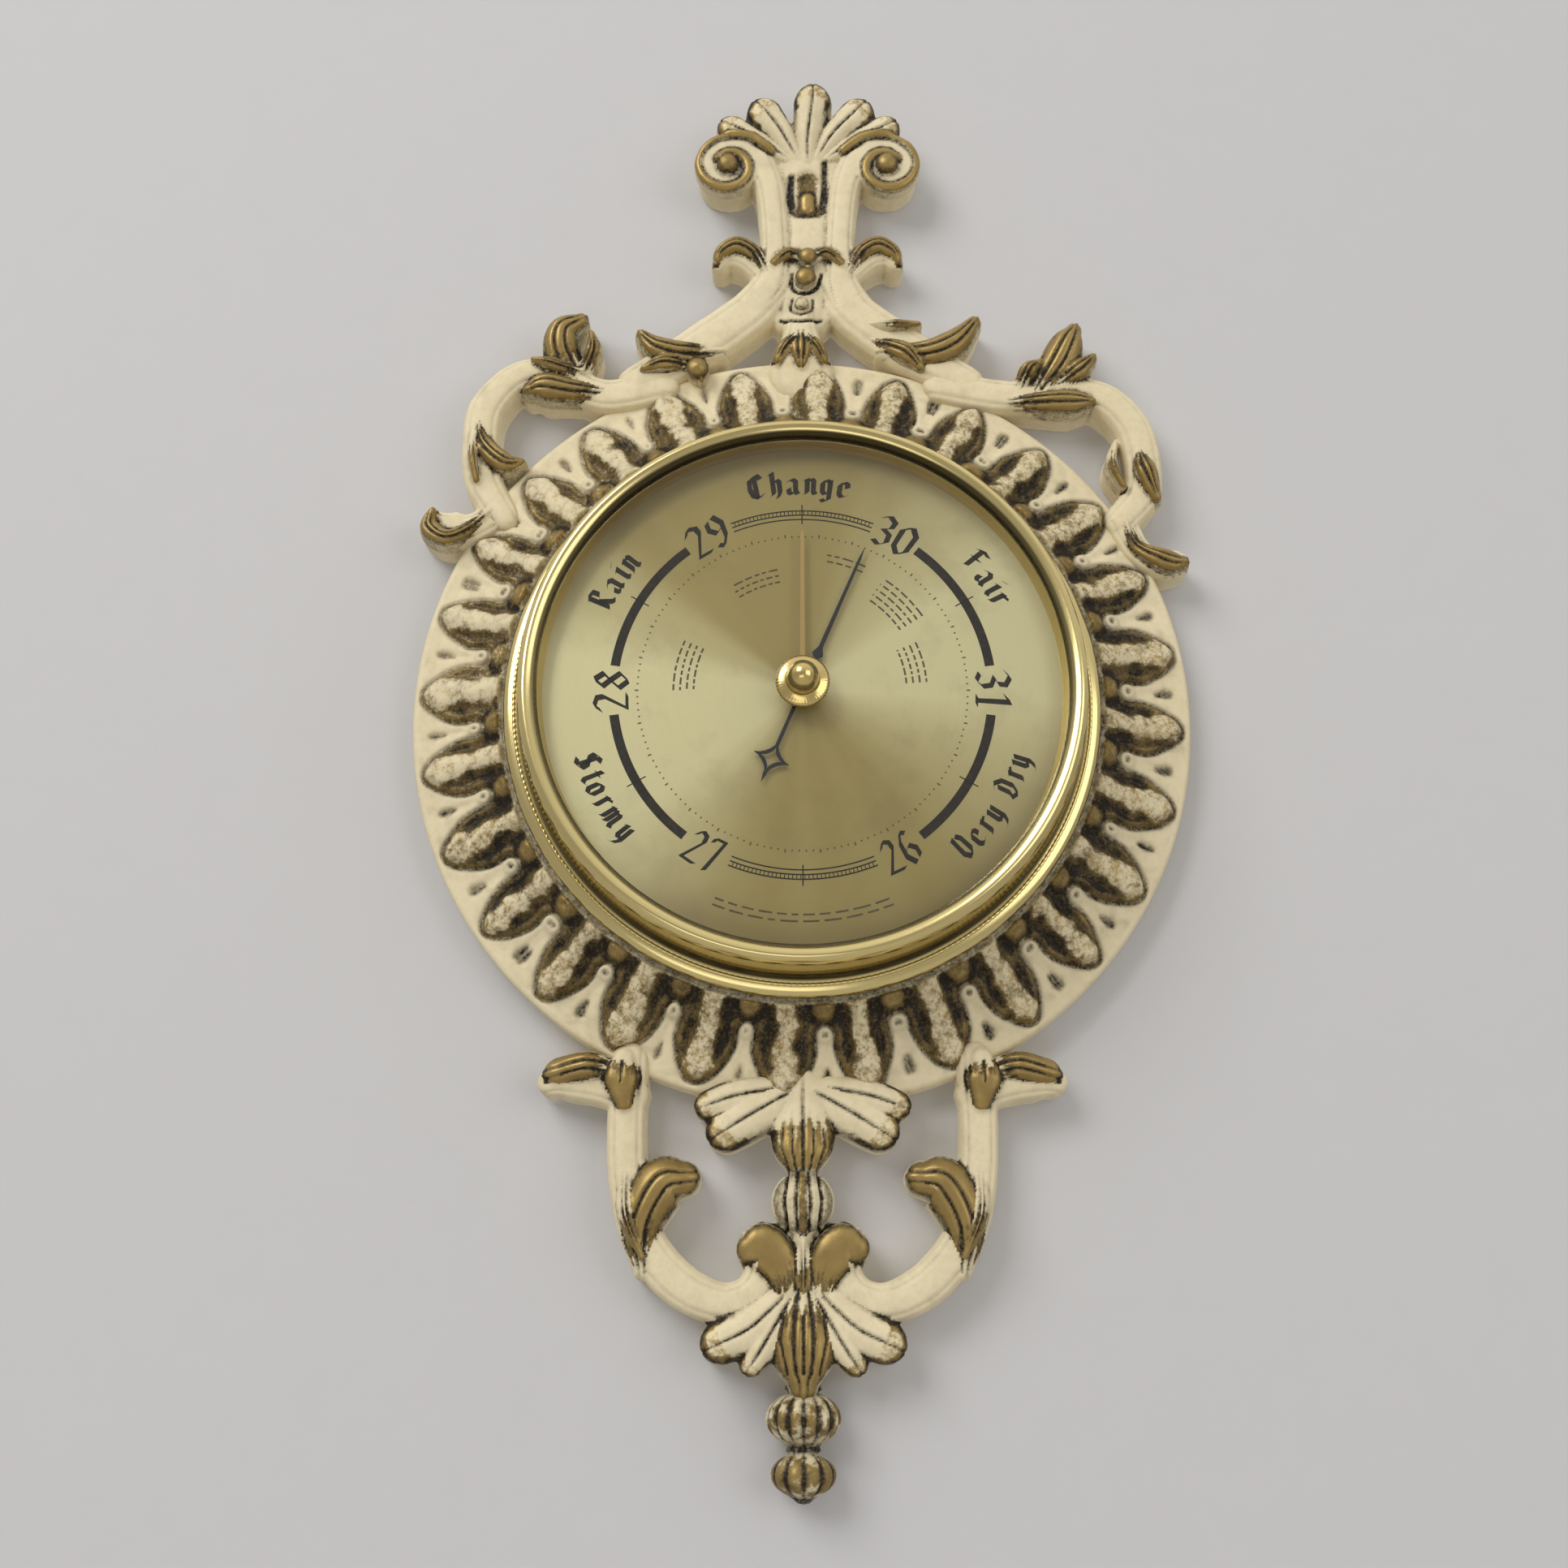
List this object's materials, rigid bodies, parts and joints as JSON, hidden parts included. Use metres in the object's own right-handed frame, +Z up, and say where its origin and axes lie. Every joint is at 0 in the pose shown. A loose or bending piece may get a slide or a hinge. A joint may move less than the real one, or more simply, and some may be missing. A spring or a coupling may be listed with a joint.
{
  "type": "wall barometer",
  "caption": "Round aneroid wall barometer: brass bezel, dial and hands in a cream and gilt frame with a scrolled crest, side scrolls and pendant.",
  "frame": {"origin": "centre of the round end of the keyhole in the hanger plate, on the wall plane", "axes": "+Z up the wall, +X to the right seen from the front, -Y out of the wall towards the viewer; the wall is the plane Y = 0"},
  "size_m": [0.1829, 0.0389, 0.3379],
  "materials": {
    "cream_resin": "cast resin, painted cream and gilt on the leaves",
    "plated_steel": "zinc plated",
    "case_brass": "drawn sheet, lacquered",
    "bezel_brass": "polished",
    "bright_brass": "satin",
    "crown_glass": "flat and clear",
    "fibre": "fibre washer",
    "hand_brass": "lacquered",
    "dial_brass": "spun, with a printed scale",
    "black_steel": "gloss black",
    "plate_brass": "stamped plate",
    "spring_steel": "tempered",
    "capsule_metal": "nickel silver",
    "blue_steel": "blued"
  },
  "bodies": {
    "case": {"frame": "cream_resin", "hanger_plate": "plated_steel", "hanger_screws": "plated_steel", "case_pan": "case_brass", "case_screws": "bezel_brass", "bezel": "bezel_brass", "sight_ring": "bright_brass", "glass": "crown_glass", "dial": "dial_brass", "base_plate": "plate_brass", "base_screws": "plated_steel", "capsule_mount": "spring_steel", "mount_screws": "plated_steel", "capsule_rear": "capsule_metal", "capsule_nut": "plate_brass", "lever_bracket": "plate_brass", "bracket_screws": "plated_steel", "lever_pivot": "spring_steel", "rocker_bracket": "plate_brass", "rocker_screws": "plated_steel", "train_pillars": "plate_brass", "train_plate": "plate_brass", "spacer_pillars": "plate_brass", "front_plate": "plate_brass", "pillar_screws": "plated_steel", "hairspring": "blue_steel", "hairspring_stud": "plate_brass"},
    "set_hand": {"set_knob": "bright_brass", "set_hand": "hand_brass", "knob_washer": "fibre", "set_hand_washer": "fibre"},
    "adjuster": {"adjusting_screw": "plate_brass"},
    "capsule_face": {"capsule_front": "capsule_metal", "capsule_pin": "spring_steel"},
    "lever": {"main_lever": "spring_steel"},
    "link": {"link": "spring_steel"},
    "rocker": {"rocker_shaft": "spring_steel"},
    "sector": {"sector": "plate_brass", "sector_arbor": "spring_steel"},
    "pointer": {"pointer": "black_steel", "pointer_arbor": "spring_steel", "hairspring_collet": "plate_brass"}
  },
  "joints": [
    {"name": "sector_swing", "type": "hinge", "parent": "case", "child": "sector", "pos_m": [0.029, -0.0186, -0.10449], "axis": [0, 1, 0], "range_deg": [-5.8, 19.8]},
    {"name": "pointer_turn", "type": "hinge", "parent": "case", "child": "pointer", "pos_m": [0, -0.0186, -0.116], "axis": [0, 1, 0], "range_deg": [-234, 68], "deforming": ["hairspring"]},
    {"name": "rocker_swing", "type": "hinge", "parent": "case", "child": "rocker", "pos_m": [0.029, -0.0081, -0.116], "axis": [0, 0, 1], "range_deg": [-3.3, 11.2]},
    {"name": "link_lift", "type": "slide", "parent": "case", "child": "link", "axis": [0, -1, 0], "range_m": [-0.0004, 0.0012]},
    {"name": "lever_swing", "type": "hinge", "parent": "case", "child": "lever", "pos_m": [-0.025, -0.013, -0.116], "axis": [0, 0, 1], "range_deg": [-1.5, 0.5]},
    {"name": "capsule_breathe", "type": "slide", "parent": "case", "child": "capsule_face", "axis": [0, -1, 0], "range_m": [-0.00017453, 0.00060618], "stiffness_N_per_m": 2000},
    {"name": "set_hand_turn", "type": "hinge", "parent": "case", "child": "set_hand", "pos_m": [0, -0.03, -0.116], "axis": [0, 1, 0], "continuous": true},
    {"name": "adjusting_turn", "type": "hinge", "parent": "case", "child": "adjuster", "pos_m": [0, -0.003, -0.103], "axis": [0, 1, 0], "range_deg": [-360, 360]}
  ],
  "couplings": [
    {"joint": "sector_swing", "follows": "capsule_breathe", "rad_per_m": 560},
    {"joint": "pointer_turn", "follows": "capsule_breathe", "rad_per_m": -6720},
    {"joint": "rocker_swing", "follows": "capsule_breathe", "rad_per_m": 320},
    {"joint": "link_lift", "follows": "capsule_breathe", "ratio": 1.92},
    {"joint": "lever_swing", "follows": "capsule_breathe", "rad_per_m": -40}
  ]
}
